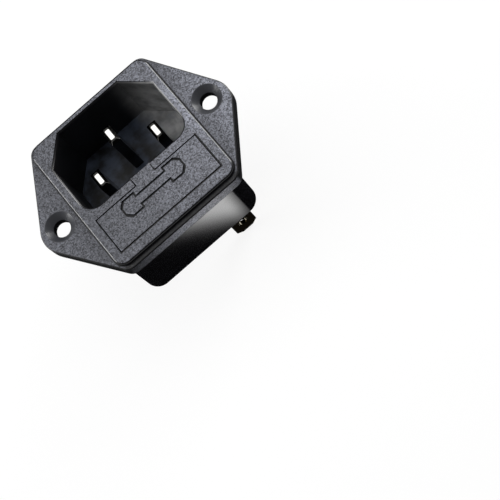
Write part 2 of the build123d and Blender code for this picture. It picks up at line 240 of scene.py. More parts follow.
def noise(tree: Tree, place: Socket, size: Socket, detail: float, rough: float) -> Socket:
    """Noise whose features are about size metres across, from 0 to 1.

    Args:
        tree: the tree to build in.
        place: the point to look up.
        size: the features' width in metres.
        detail: how many finer layers it has.
        rough: how much the finer layers count.

    Returns:
        The noise.
    """
    scale = maths(tree, "DIVIDE", 1.0, size)
    sources = {"Vector": place, "Scale": scale, "Detail": detail, "Roughness": rough}
    return feed_by_name(tree, add_node(tree, "ShaderNodeTexNoise"), sources).outputs[0]


def new_group(name: str, inputs: dict[str, tuple[str, object]], outputs: dict[str, str]) -> Tree:
    """Makes a shader node group with named sockets.

    Args:
        name: the group's name.
        inputs: socket name to (type, default).
        outputs: socket name to type.

    Returns:
        The group's tree, with its input and output nodes in it.
    """
    tree = bpy.data.node_groups.new(name, "ShaderNodeTree")
    for label, (kind, default) in inputs.items():
        socket = tree.interface.new_socket(name=label, in_out="INPUT", socket_type=kind)
        if default is not None:
            socket.default_value = default
    for label, kind in outputs.items():
        tree.interface.new_socket(name=label, in_out="OUTPUT", socket_type=kind)
    tree.nodes.new("NodeGroupInput")
    tree.nodes.new("NodeGroupOutput")
    return tree


def ends(tree: Tree) -> tuple[Node, Node]:
    """Returns a group's input and output nodes."""
    return tree.nodes["Group Input"], tree.nodes["Group Output"]


def use_group(tree: Tree, group: Tree, **inputs: object) -> Node:
    """Places a group in a tree and feeds its inputs by name."""
    return feed_by_name(tree, add_node(tree, "ShaderNodeGroup", node_tree=group), inputs)


class Effects:
    """The surface effects that several finishes share, each built once as a node group."""

    GRAIN_RANGE = (0.34, 0.66)
    CELLS_PER_GRAIN = 0.88
    CELL_SHARE = 0.85
    CLOUD_RANGE = (0.3, 0.7)

    def __init__(self) -> None:
        """Builds every group."""
        self.spark_grain = self._spark_grain()
        self.soft_cloud = self._soft_cloud()
        self.rolled_lines = self._rolled_lines()
        self.box_distance = self._box_distance()

    def _spark_grain(self) -> Tree:
        """Fine pitted grain of a spark-eroded mould: Shade and Height, both from 0 to 1.

        Returns:
            The group, with the inputs Place and Size.
        """
        tree = new_group("spark_grain", {"Place": (VECTOR, None), "Size": (FLOAT, 0.0003)},
                         {"Shade": FLOAT, "Height": FLOAT})
        start, end = ends(tree)
        fine = noise(tree, start.outputs["Place"], start.outputs["Size"], detail=2.0, rough=0.7)
        scale = maths(tree, "DIVIDE", self.CELLS_PER_GRAIN, start.outputs["Size"])
        cell = feed_by_name(tree, add_node(tree, "ShaderNodeTexVoronoi", feature="F1"),
                            {"Vector": start.outputs["Place"], "Scale": scale})
        fleck = feed(tree, add_node(tree, "ShaderNodeSeparateColor"), cell.outputs["Color"])
        both = blend_value(tree, self.CELL_SHARE, ramp(tree, fine, *self.GRAIN_RANGE, smooth=False), fleck)
        put(tree, end.inputs["Shade"], both)
        put(tree, end.inputs["Height"], both)
        return tree

    def _soft_cloud(self) -> Tree:
        """Slow variation over a surface, as moulding and handling leave it.

        Returns:
            The group, whose Value runs from Low to High.
        """
        tree = new_group("soft_cloud", {"Place": (VECTOR, None), "Size": (FLOAT, 0.01), "Low": (FLOAT, 0.9),
                                        "High": (FLOAT, 1.1)}, {"Value": FLOAT})
        start, end = ends(tree)
        cloud = noise(tree, start.outputs["Place"], start.outputs["Size"], detail=3.0, rough=0.55)
        put(tree, end.inputs["Value"],
            ramp(tree, cloud, *self.CLOUD_RANGE, start.outputs["Low"], start.outputs["High"]))
        return tree

    @staticmethod
    def _rolled_lines() -> Tree:
        """Fine lines along one direction, as rolling leaves them on strip metal.

        Returns:
            The group, with the inputs Place, Size and Stretch.
        """
        tree = new_group("rolled_lines", {"Place": (VECTOR, None), "Size": (FLOAT, 0.0002),
                                          "Stretch": (VECTOR, None)}, {"Value": FLOAT})
        start, end = ends(tree)
        scaled = vector_maths(tree, "MULTIPLY", start.outputs["Place"], start.outputs["Stretch"])
        put(tree, end.inputs["Value"], noise(tree, scaled, start.outputs["Size"], detail=4.0, rough=0.6))
        return tree

    @staticmethod
    def _box_distance() -> Tree:
        """Distance outside an upright round-cornered box, seen along Z: zero on its outline.

        Returns:
            The group, with the inputs Place, Middle, Half and Radius.
        """
        inputs = {"Place": (VECTOR, None), "Middle": (VECTOR, None), "Half": (VECTOR, None),
                  "Radius": (FLOAT, 0.0)}
        tree = new_group("box_distance", inputs, {"Distance": FLOAT})
        start, end = ends(tree)
        off = vector_maths(tree, "SUBTRACT", start.outputs["Place"], start.outputs["Middle"])
        beyond = vector_maths(tree, "SUBTRACT", vector_maths(tree, "ABSOLUTE", off), start.outputs["Half"])
        x, y, _ = axes(tree, beyond)
        across, along = (maths(tree, "MAXIMUM", maths(tree, "ADD", length, start.outputs["Radius"]), 0.0)
                         for length in (x, y))
        put(tree, end.inputs["Distance"],
            maths(tree, "SUBTRACT", diagonal(tree, across, along), start.outputs["Radius"]))
        return tree


def new_material(name: str) -> tuple[Material, Tree, Node]:
    """Makes a material and returns it with its tree and its surface shader.

    Args:
        name: the material's name.

    Returns:
        The material, its tree and its surface shader.
    """
    material = bpy.data.materials.new(name)
    material.use_nodes = True
    return material, material.node_tree, material.node_tree.nodes["Principled BSDF"]


def object_place(tree: Tree) -> Socket:
    """Adds a Texture Coordinate node and returns the place on the object."""
    return add_node(tree, "ShaderNodeTexCoord").outputs["Object"]


def add_bump(tree: Tree, shader: Node, height: object, strength: float, distance: float) -> None:
    """Bumps a shader's surface by a height from 0 to 1 that stands for a distance in metres.

    Args:
        tree: the tree to build in.
        shader: the material's surface shader.
        height: the height, from 0 to 1.
        strength: how strongly it shows.
        distance: what a height of 1 stands for.
    """
    bump = feed_by_name(tree, add_node(tree, "ShaderNodeBump"),
                        {"Strength": strength, "Distance": distance, "Height": height})
    put(tree, shader.inputs["Normal"], bump.outputs[0])


@dataclass(frozen=True)
class Point:
    """Where a shaded point lies on the object and which way its face looks, both in the object's frame."""

    place: Socket
    x: Socket
    y: Socket
    z: Socket
    look_x: Socket
    look_y: Socket
    look_z: Socket


def shaded_point(tree: Tree) -> Point:
    """Adds the nodes that give a shaded point's place and direction.

    Args:
        tree: the tree to build in.

    Returns:
        The point.
    """
    texture = add_node(tree, "ShaderNodeTexCoord")
    place = texture.outputs["Object"]
    return Point(place, *axes(tree, place), *axes(tree, texture.outputs["Normal"]))


@dataclass(frozen=True)
class ScrewSink:
    """The satin countersinks of the two screw holes. Places in millimetres."""

    colour: Colour = (0.060, 0.062, 0.070)
    rough: float = 0.30
    middle: float = 18.0
    rim: Fade = (3.05, 2.99)
    look: Fade = (0.3, 0.5)
    clear: Fade = (3.2, 3.4)

    def distance(self, tree: Tree, point: Point) -> Socket:
        """Distance from the nearer screw hole's axis."""
        aside = maths(tree, "SUBTRACT", maths(tree, "ABSOLUTE", point.x), self.middle * MM)
        return diagonal(tree, aside, point.y)

    def mask(self, tree: Tree, point: Point, distance: Socket) -> Socket:
        """One on a countersink's cone and zero elsewhere."""
        return product(tree, fade(tree, distance, self.rim), ramp(tree, point.look_z, *self.look))


@dataclass(frozen=True)
class Cavity:
    """The socket's inside: a painted reflection, a pale blotchy sheen on the walls and floor near one corner,
    and painted bluish glints on the floor. Places in millimetres.
    """

    rough: float = 0.45
    half_width: float = 12.8
    middle_y: float = 0.8
    half_height: float = 14.0
    middle_z: float = -4.2
    half_depth: float = 8.1
    inward: float = 0.5
    # painted reflection: a pale blotchy sheen near the corner at +X and +Y, faint at the mouth and full
    # deeper down
    painted_sheen_colour: Colour = (1.0, 1.0, 1.0)
    painted_sheen_x: Fade = (4.0, 12.0)
    painted_sheen_y: Fade = (0.0, 8.0)
    painted_sheen_z: Fade = (3.0, -10.0)
    painted_sheen_at_mouth: float = 0.14
    painted_sheen_size: float = 3.0
    painted_sheen_thin: float = 0.45
    # painted glints: bluish blotches on the upward faces of the socket's floor
    painted_glint_colour: Colour = (0.085, 0.110, 0.165)
    painted_glint_level: Fade = (-11.5, -12.0)
    painted_glint_look: Fade = (0.5, 0.8)
    painted_glint_size: float = 4.0

    def mask(self, tree: Tree, point: Point) -> Socket:
        """One on faces inside the socket and the drawer's compartment that don't look outwards.

        Args:
            tree: the tree to build in.
            point: the shaded point.

        Returns:
            The mask.
        """
        near_x = maths(tree, "LESS_THAN", maths(tree, "ABSOLUTE", point.x), self.half_width * MM)
        near_y = maths(tree, "COMPARE", point.y, self.middle_y * MM, self.half_height * MM)
        near_z = maths(tree, "COMPARE", point.z, self.middle_z * MM, self.half_depth * MM)
        outward = maths(tree, "ADD", product(tree, point.look_x, point.x),
                        product(tree, point.look_y, maths(tree, "SUBTRACT", point.y, self.middle_y * MM)))
        return product(tree, near_x, near_z, near_y, maths(tree, "LESS_THAN", outward, self.inward * MM))

    def colour(self, tree: Tree, effects: Effects, point: Point, inside: Socket, base: Colour) -> Socket:
        """Paints bluish glints on the socket's floor and a pale sheen of reflected light on its walls.

        Args:
            tree: the material's tree.
            effects: the shared node groups.
            point: the shaded point.
            inside: the cavity's mask.
            base: the plain plastic's colour.

        Returns:
            The colour.
        """
        # painted glints: bluish blotches on the socket's floor
        glint_blotch = use_group(tree, effects.soft_cloud, Place=point.place, Size=self.painted_glint_size * MM,
                         Low=0.0, High=1.0)
        painted_glint = product(tree, inside, fade(tree, point.z, self.painted_glint_level),
                       ramp(tree, point.look_z, *self.painted_glint_look), glint_blotch.outputs["Value"])
        # painted reflection: the pale blotchy sheen on the walls and floor near one corner
        sheen_blotch = use_group(tree, effects.soft_cloud, Place=point.place, Size=self.painted_sheen_size * MM,
                          Low=self.painted_sheen_thin, High=1.0)
        painted_sheen = product(tree, fade(tree, point.x, self.painted_sheen_x), fade(tree, point.y, self.painted_sheen_y),
                       fade(tree, point.z, self.painted_sheen_z, self.painted_sheen_at_mouth), inside, sheen_blotch.outputs["Value"])
        return blend_colour(tree, painted_sheen, blend_colour(tree, painted_glint, base, self.painted_glint_colour), self.painted_sheen_colour)


@dataclass(frozen=True)
class GrainPaintedLight:
    """Painted light and shade on the grained faces: how bright they are painted from place to place. Places
    in millimetres.
    """

    # painted light: the grained faces are painted darker at -X and brighter towards +X
    across: Fade = (-16.0, 14.0)
    across_gain: Pair = (0.72, 1.06)
    # painted highlight: a brighter strip along the bezel's +X side, strongest near y = 3 mm and faint on the
    # flange
    strip_middle: float = 3.0
    strip_reach: Fade = (13.0, 0.0)
    strip_gain: float = 0.75
    strip_x: Fade = (11.5, 13.0)
    strip_z: Fade = (2.8, 3.6)
    strip_low: float = 0.06
    # painted shade and light on the right ear: darker beside the bezel, lighter further out
    ear: Fade = (14.5, 19.5)
    ear_gain: Pair = (-0.15, 0.30)
    ear_z: Fade = (3.3, 3.0)
    right_half: Fade = (0.0, 1.0)
    # painted shadow: the flange's ledge below the bezel's lower edge is painted dark
    ledge_z: Fade = (3.0, 3.3)
    ledge_y: Fade = (-15.3, -14.2)
    ledge_shadow_gain: float = 0.10
    # painted shade: the flange's upright rim is painted near black
    rim_shade_gain: float = 0.03
    # painted reflection: the rim that looks towards -Y is painted lighter, rising from -X to the middle and
    # easing off towards +X
    low_rim_look: Fade = (-0.80, -0.98)
    low_rim_rise: Fade = (-15.0, 2.0)
    low_rim_gain: Pair = (0.18, 1.60)
    low_rim_fall: Fade = (2.0, 15.0)
    low_rim_loss: float = 0.8

    def gain(self, tree: Tree, point: Point, rim: Socket, cloud: Socket) -> Socket:
        """The factor of painted light and shade for the grain's colour.

        Args:
            tree: the material's tree.
            point: the shaded point.
            rim: one on the flange's rim.
            cloud: a slow variation near one.

        Returns:
            The factor.
        """
        # the painted highlight strip along the bezel's +X side
        from_middle = maths(tree, "ABSOLUTE", maths(tree, "SUBTRACT", point.y, self.strip_middle * MM))
        strip = product(tree, fade(tree, from_middle, self.strip_reach, 0.0, self.strip_gain),
                        fade(tree, point.x, self.strip_x), fade(tree, point.z, self.strip_z, self.strip_low))
        # painted shade beside the bezel on the right ear, painted light further out
        ear = product(tree, fade(tree, point.x, self.ear, *self.ear_gain), fade(tree, point.z, self.ear_z),
                      fade(tree, point.x, self.right_half))
        # painted shadow on the ledge below the bezel
        ledge_shadow = maths(tree, "MAXIMUM", fade(tree, point.z, self.ledge_z),
                      fade(tree, point.y, self.ledge_y, self.ledge_shadow_gain))
        # painted light, brighter towards +X, plus the painted highlight strip
        front = maths(tree, "ADD", fade(tree, point.x, self.across, *self.across_gain), strip)
        front = product(tree, maths(tree, "ADD", front, ear), cloud, ledge_shadow)
        # painted reflection on the rim that looks towards -Y
        low_rim = maths(tree, "SUBTRACT", fade(tree, point.x, self.low_rim_rise, *self.low_rim_gain),
                        fade(tree, point.x, self.low_rim_fall, 0.0, self.low_rim_loss))
        # painted shade: the rim is near black except where it looks towards -Y
        low_rim = blend_value(tree, ramp(tree, point.look_y, *self.low_rim_look), self.rim_shade_gain, low_rim)
        return blend_value(tree, rim, front, low_rim)


@dataclass(frozen=True)
class ShadowLine:
    """Painted shadow: a thin dark line round an upright round-cornered box. Millimetres."""

    middle_y: float
    half: Pair
    radius: float
    low: float
    high: float
    outer: Fade = (0.238, 0.102)
    inner: float = -0.02

    def mask(self, tree: Tree, effects: Effects, point: Point) -> Socket:
        """One on the line and zero elsewhere.

        Args:
            tree: the tree to build in.
            effects: the shared node groups.
            point: the shaded point.

        Returns:
            The mask.
        """
        box = use_group(tree, effects.box_distance, Place=point.place, Middle=(0.0, self.middle_y * MM, 0.0),
                        Half=(self.half[0] * MM, self.half[1] * MM, 1.0), Radius=self.radius * MM).outputs[0]
        return product(tree, fade(tree, box, self.outer),
                       maths(tree, "GREATER_THAN", box, self.inner * MM),
                       maths(tree, "GREATER_THAN", point.z, self.low * MM),
                       maths(tree, "LESS_THAN", point.z, self.high * MM))


@dataclass(frozen=True)
class MouldedPlastic:
    """Black moulded plastic: spark-eroded grain on the front, the rim and the rear ribs, smooth elsewhere."""

    name: str
    grain_dark: Colour = (0.010, 0.010, 0.013)
    grain_light: Colour = (0.264, 0.275, 0.322)
    grain_size: float = 0.19 * MM
    grain_rough: float = 0.42
    bump_height: float = 0.05 * MM
    bump_strength: float = 0.8
    cloud_size: float = 9.0 * MM
    cloud_range: Pair = (0.90, 1.10)
    smooth_colour: Colour = (0.004, 0.004, 0.005)
    rim_rough: float = 0.42
    lip_rough: float = 0.22
    wall_rough: float = 0.15
    front_look: Fade = (0.80, 0.97)
    front_z: Fade = (1.5, 1.6)
    # painted shade: edges that look towards +Y lose the grain and show plain black as a dark outline
    top_edge_look: Fade = (0.26, 0.10)
    # painted shade: the fuse mark's groove is left plain black
    groove_bottom: Fade = (3.2, 3.3)
    groove_top: Fade = (3.95, 3.85)
    rib_z: Fade = (-13.8, -13.9)
    rim_look: Fade = (0.25, 0.12)
    rim_bottom: Fade = (0.1, 0.2)
    rim_top: Fade = (2.95, 2.85)
    lip_z: Fade = (3.0, 3.1)
    flange_rear: Fade = (-0.1, 0.1)
    sink: ScrewSink = ScrewSink()
    cavity: Cavity = Cavity()
    light: GrainPaintedLight = GrainPaintedLight()
    # painted shadow lines: round the bezel's foot on the flange, and along the drawer's gap on its right and
    # lower sides
    frame_shadow_line: ShadowLine = ShadowLine(0.3, (14.1, 15.3), 2.4, 2.9, 3.1)
    drawer_shadow_line: ShadowLine = ShadowLine(-8.425, (12.15, 4.175), 0.1, 3.9, 4.1)
    drawer_shade_x: Fade = (11.8, 12.1)
    drawer_shade_y: Fade = (-12.3, -12.6)

    def make(self, effects: Effects) -> Material:
        """Builds the material.

        Args:
            effects: the shared node groups.

        Returns:
            The finished material.
        """
        material, tree, shader = new_material(self.name)
        point = shaded_point(tree)
        from_screw = self.sink.distance(tree, point)
        sink = self.sink.mask(tree, point, from_screw)
        inside = self.cavity.mask(tree, point)
        rim = self._rim(tree, point, inside, from_screw)
        rib = product(tree, ramp(tree, point.look_z, -self.front_look[0], -self.front_look[1]),
                      fade(tree, point.z, self.rib_z))
        front = self._front(tree, effects, point, sink)
        grained = maths(tree, "ADD", maths(tree, "ADD", front, rib), rim, clamp=True)

        grain = use_group(tree, effects.spark_grain, Place=point.place, Size=self.grain_size)
        cloud = use_group(tree, effects.soft_cloud, Place=point.place, Size=self.cloud_size,
                          Low=self.cloud_range[0], High=self.cloud_range[1]).outputs[0]
        speckle = blend_colour(tree, grain.outputs["Shade"], self.grain_dark, self.grain_light)
        # painted light and shade multiply the grain's colour
        speckle = blend_colour(tree, 1.0, speckle, self.light.gain(tree, point, rim, cloud), "MULTIPLY")
        # the plain colour carries the cavity's painted sheen and glints, and the satin countersinks
        plain = self.cavity.colour(tree, effects, point, inside, self.smooth_colour)
        plain = blend_colour(tree, sink, plain, self.sink.colour)
        put(tree, shader.inputs["Base Color"], blend_colour(tree, grained, plain, speckle))

        outer = fade(tree, point.z, self.lip_z, self.rim_rough, self.lip_rough)
        outer = blend_value(tree, fade(tree, point.z, self.flange_rear), self.wall_rough, outer)
        smooth = blend_value(tree, inside, blend_value(tree, sink, outer, self.sink.rough), self.cavity.rough)
        smooth = product(tree, smooth, cloud)
        put(tree, shader.inputs["Roughness"], blend_value(tree, grained, smooth, self.grain_rough))
        height = product(tree, grain.outputs["Height"], grained)
        add_bump(tree, shader, height, self.bump_strength, self.bump_height)
        return material

    def _front(self, tree: Tree, effects: Effects, point: Point, sink: Socket) -> Socket:
        """One on the grained faces that look ahead, less sinks and the places left plain black as painted
        shade: the fuse mark's groove, the upper edges and the shadow lines.

        Args:
            tree: the tree to build in.
            effects: the shared node groups.
            point: the shaded point.
            sink: one on a countersink.

        Returns:
            The mask.
        """
        # painted shade: the fuse mark's groove is left plain black
        groove = product(tree, fade(tree, point.z, self.groove_bottom), fade(tree, point.z, self.groove_top))
        # painted shadow lines, the drawer's only at its right and lower sides
        shaded = maths(tree, "MAXIMUM", fade(tree, point.x, self.drawer_shade_x),
                       fade(tree, point.y, self.drawer_shade_y))
        lines = maths(tree, "MAXIMUM", self.frame_shadow_line.mask(tree, effects, point),
                      product(tree, self.drawer_shadow_line.mask(tree, effects, point), shaded))
        # faces that look towards +Y are left plain black as painted shade
        return product(tree, ramp(tree, point.look_z, *self.front_look), fade(tree, point.z, self.front_z),
                       ramp(tree, point.look_y, *self.top_edge_look), without(tree, sink),
                       without(tree, groove), without(tree, lines))

    def _rim(self, tree: Tree, point: Point, inside: Socket, from_screw: Socket) -> Socket:
        """One on the flange's upright rim, clear of the socket and the screw holes.

        Args:
            tree: the tree to build in.
            point: the shaded point.
            inside: one in the cavity.
            from_screw: the distance from the nearer screw hole's axis.

        Returns:
            The mask.
        """
        return product(tree, ramp(tree, maths(tree, "ABSOLUTE", point.look_z), *self.rim_look),
                       fade(tree, point.z, self.rim_bottom), fade(tree, point.z, self.rim_top),
                       without(tree, inside), fade(tree, from_screw, self.sink.clear))


@dataclass(frozen=True)
class Metal:
    """Bright strip, turned or plated metal with fine working lines. Places on the object in millimetres."""

    name: str
    colour: Colour
    shade: Colour
    rough: float = 0.22
    lines: Triple = (1.0, 1.0, 0.08)
    line_size: float = 0.12 * MM
    line_height: float = 0.004 * MM
    line_strength: float = 0.5
    line_range: Pair = (0.25, 0.75)
    rough_share: Pair = (0.75, 1.35)
    stain_size: float = 1.6 * MM
    stain_share: float = 0.6
    # painted shade: the pins are painted near black except the middle of each tip
    bright_tips: tuple[Pair, ...] = ()
    tip_half: Pair = (0.40, 1.05)
    tip_corner: float = 0.15
    tip_edge: Fade = (0.0, 0.12)
    pin_shade_level: float = 0.035
    # painted shade on the punched walls of the tabs' catch holes
    shaded_holes: bool = False
    hole_shade_colour: Colour = (0.05, 0.045, 0.035)
    hole_look: Fade = (0.10, 0.25)
    hole_level: float = -19.6
    hole_reach: float = 1.3

    def make(self, effects: Effects) -> Material:
        """Builds the material from the shared groups and returns it.

        Args:
            effects: the shared node groups.

        Returns:
            The finished material.
        """
        material, tree, shader = new_material(self.name)
        point = shaded_point(tree)
        lines = use_group(tree, effects.rolled_lines, Place=point.place, Size=self.line_size,
                          Stretch=self.lines).outputs[0]
        stain = use_group(tree, effects.soft_cloud, Place=point.place, Size=self.stain_size,
                          Low=0.0, High=1.0)
        tone = blend_colour(tree, product(tree, stain.outputs[0], self.stain_share), self.colour, self.shade)
        # painted shade on the pins outside the middle of their tips
        if self.bright_tips:
            tone = blend_colour(tree, 1.0, tone, self._painted_pin_shade(tree, effects, point), "MULTIPLY")
        # painted shade on the walls of the tabs' catch holes
        if self.shaded_holes:
            tone = blend_colour(tree, self._painted_hole_shade(tree, point), tone, self.hole_shade_colour)
        put(tree, shader.inputs["Base Color"], tone)
        shader.inputs["Metallic"].default_value = 1.0
        least, most = (self.rough * share for share in self.rough_share)
        put(tree, shader.inputs["Roughness"], ramp(tree, lines, *self.line_range, least, most, smooth=False))
        add_bump(tree, shader, lines, self.line_strength, self.line_height)
        return material

    def _painted_hole_shade(self, tree: Tree, point: Point) -> Socket:
        """Painted shade: one on the punched wall of the tabs' catch holes, which is painted dark, and zero
        elsewhere.

        Args:
            tree: the tree to build in.
            point: the shaded point.

        Returns:
            The mask.
        """
        sloped = ramp(tree, maths(tree, "ABSOLUTE", point.look_z), *self.hole_look)
        level = maths(tree, "COMPARE", point.z, self.hole_level * MM, self.hole_reach * MM)
        return product(tree, sloped, level)

    def _painted_pin_shade(self, tree: Tree, effects: Effects, point: Point) -> Socket:
        """Painted shade: one at the middle of each pin's tip, falling to a near-black tone over the rest of
        the pin.

        Args:
            tree: the tree to build in.
            effects: the shared node groups.
            point: the shaded point.

        Returns:
            The factor for the metal's colour.
        """
        nearest: object = 1.0
        half = (self.tip_half[0] * MM, self.tip_half[1] * MM, 1.0)
        for x, y in self.bright_tips:
            box = use_group(tree, effects.box_distance, Place=point.place, Middle=(x * MM, y * MM, 0.0),
                            Half=half, Radius=self.tip_corner * MM)
            nearest = maths(tree, "MINIMUM", nearest, box.outputs[0])
        return fade(tree, nearest, self.tip_edge, 1.0, self.pin_shade_level)


@dataclass(frozen=True)
class ClearGlass:
    """Clear drawn glass with a faint waviness."""

    name: str = "clear_glass"
    tint: Colour = (0.96, 0.985, 0.975)
    index: float = 1.5
    rough: Pair = (0.01, 0.05)
    wave_size: float = 2.5 * MM

    def make(self, effects: Effects) -> Material:
        """Builds the material from the shared groups and returns it.

        Args:
            effects: the shared node groups.

        Returns:
            The finished material.
        """
        material, tree, shader = new_material(self.name)
        wave = use_group(tree, effects.soft_cloud, Place=object_place(tree), Size=self.wave_size,
                         Low=0.0, High=1.0)
        shader.inputs["Base Color"].default_value = (*self.tint, 1.0)
        shader.inputs["Transmission Weight"].default_value = 1.0
        shader.inputs["IOR"].default_value = self.index
        put(tree, shader.inputs["Roughness"], ramp(tree, wave.outputs[0], 0.0, 1.0, *self.rough))
        return material


class Shape(Enum):
    """How sharp an edge has to be before it stays hard when a node is smoothed."""

    MOULDED = 35.0
    SHEET = 32.0
    ROUND = 40.0


def new_shape_tree(name: str, inputs: dict[str, str]) -> tuple[Tree, Node, Node]:
    """Makes a Geometry Nodes tree with a geometry input and output.

    Args:
        name: the tree's name.
        inputs: further inputs, socket name to type.

    Returns:
        The tree, its input node and its output node.
    """
    tree = bpy.data.node_groups.new(name, "GeometryNodeTree")
    tree.interface.new_socket(name="Geometry", in_out="INPUT", socket_type=GEOMETRY)
    for label, kind in inputs.items():
        tree.interface.new_socket(name=label, in_out="INPUT", socket_type=kind)
    tree.interface.new_socket(name="Geometry", in_out="OUTPUT", socket_type=GEOMETRY)
    return tree, tree.nodes.new("NodeGroupInput"), tree.nodes.new("NodeGroupOutput")


def edge_tree() -> Tree:
    """Builds the Geometry Nodes tree that joins a node's loose triangles and smooths its curved faces.

    Returns:
        The tree, with the inputs Join Within and Hard Angle.
    """
    tree, start, end = new_shape_tree("joined_surface", {"Join Within": FLOAT, "Hard Angle": FLOAT})
    merge = add_node(tree, "GeometryNodeMergeByDistance")
    put(tree, merge.inputs["Geometry"], start.outputs["Geometry"])
    put(tree, merge.inputs["Distance"], start.outputs["Join Within"])
    faces = add_node(tree, "GeometryNodeSetShadeSmooth")
    put(tree, faces.inputs["Geometry"], merge.outputs["Geometry"])
    angle = add_node(tree, "GeometryNodeInputMeshEdgeAngle")
    test = add_node(tree, "FunctionNodeCompare", operation="GREATER_THAN")
    put(tree, test.inputs[0], angle.outputs["Unsigned Angle"])
    put(tree, test.inputs[1], start.outputs["Hard Angle"])
    edges = add_node(tree, "GeometryNodeSetShadeSmooth", domain="EDGE")
    put(tree, edges.inputs["Geometry"], faces.outputs["Geometry"])
    put(tree, edges.inputs["Selection"], test.outputs["Result"])
    put(tree, edges.inputs["Shade Smooth"], False)
    put(tree, end.inputs["Geometry"], edges.outputs["Geometry"])
    return tree


def socket_id(tree: Tree, name: str) -> str:
    """Returns the identifier of a group's input with that name."""
    return next(s.identifier for s in tree.interface.items_tree if s.name == name and s.in_out == "INPUT")


@dataclass
class Dresser:
    """Gives carried-over nodes their finish and their smoothed faces."""

    tree: Tree = field(default_factory=edge_tree)
    join_within: float = 0.0005 * MM
    corner_weight: int = 80

    def dress(self, node: str, material: Material, shape: Shape) -> None:
        """Finishes one node of the frame.

        Args:
            node: the node's name.
            material: its finish.
            shape: how hard its edges stay.
        """
        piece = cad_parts[node]
        for slot in piece.material_slots:
            slot.material = material
        joined = piece.modifiers.new("joined_surface", "NODES")
        joined.node_group = self.tree
        joined[socket_id(self.tree, "Join Within")] = self.join_within
        joined[socket_id(self.tree, "Hard Angle")] = math.radians(shape.value)
        even = piece.modifiers.new("even_normals", "WEIGHTED_NORMAL")
        even.keep_sharp = True
        even.weight = self.corner_weight
        LOG.info("dressed %s with %s", node, material.name)


@dataclass
class Housing:
    """The moulded housing and the front of the fuse drawer."""

    plastic: MouldedPlastic = MouldedPlastic("black_moulded")
    drawer_plastic: MouldedPlastic = MouldedPlastic("black_drawer", grain_size=0.18 * MM)

    def build(self, dresser: Dresser, effects: Effects) -> None:
        """Dresses the two plastic nodes."""
        dresser.dress("housing", self.plastic.make(effects), Shape.MOULDED)
        dresser.dress("fuse_drawer", self.drawer_plastic.make(effects), Shape.MOULDED)


@dataclass
class Contacts:
    """Pins, tabs, link, clips and rivets."""

    # the pins are painted near black outside the middle of their tips
    pin: Metal = Metal("nickel_pin", (0.84, 0.83, 0.80), (0.74, 0.72, 0.69), rough=0.16,
                       line_height=0.001 * MM, bright_tips=PIN_PLACES)
    # the tabs' catch holes get painted shade
    strip: Metal = Metal("gilt_strip", (0.93, 0.76, 0.47), (0.80, 0.60, 0.33), rough=0.14,
                         lines=(1.0, 0.06, 0.06), line_height=0.0015 * MM, shaded_holes=True)
    clip: Metal = Metal("nickel_clip", (0.74, 0.73, 0.70), (0.55, 0.53, 0.50), rough=0.24)
    rivet: Metal = Metal("brass_rivet", (0.94, 0.74, 0.36), (0.70, 0.48, 0.18), rough=0.24)

    def build(self, dresser: Dresser, effects: Effects) -> None:
        """Dresses the metal nodes of the inlet.

        Args:
            dresser: finishes a node of the frame.
            effects: the shared node groups.
        """
        for finish, nodes in ((self.pin, ("pin_neutral", "pin_line", "pin_earth")),
                              (self.strip, ("tab_neutral", "tab_earth", "tab_fused_line", "line_link")),
                              (self.clip, ("fuse_clip_supply", "fuse_clip_load")),
                              (self.rivet, ("clip_rivet_supply", "clip_rivet_load"))):
            material = finish.make(effects)
            for node in nodes:
                dresser.dress(node, material, Shape.SHEET)


@dataclass
class Fuse:
    """The cartridge fuse in the drawer."""

    cap: Metal = Metal("nickel_cap", (0.80, 0.79, 0.76), (0.62, 0.60, 0.56), rough=0.2,
                       lines=(0.06, 1.0, 1.0))
    wire: Metal = Metal("tinned_wire", (0.75, 0.74, 0.71), (0.5, 0.49, 0.47), rough=0.3)
    glass: ClearGlass = ClearGlass()

    def build(self, dresser: Dresser, effects: Effects) -> None:
        """Dresses the fuse's glass, caps and wire.

        Args:
            dresser: finishes a node of the frame.
            effects: the shared node groups.
        """
        cap = self.cap.make(effects)
        for node in ("fuse_cap_supply", "fuse_cap_load"):
            dresser.dress(node, cap, Shape.ROUND)
        dresser.dress("fuse_wire", self.wire.make(effects), Shape.ROUND)
        dresser.dress("fuse_glass", self.glass.make(effects), Shape.ROUND)


def finish_piece(name: str, mesh: bpy.types.Mesh, body: str) -> None:
    """Links a finished mesh as one piece that rides on a body.

    Args:
        name: the piece's name.
        mesh: its mesh, with its material.
        body: the body that it rides on.
    """
    piece = bpy.data.objects.new(name, mesh)
    bpy.context.scene.collection.objects.link(piece)
    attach(piece, body)
    LOG.info("built %s with %d faces", name, len(mesh.polygons))


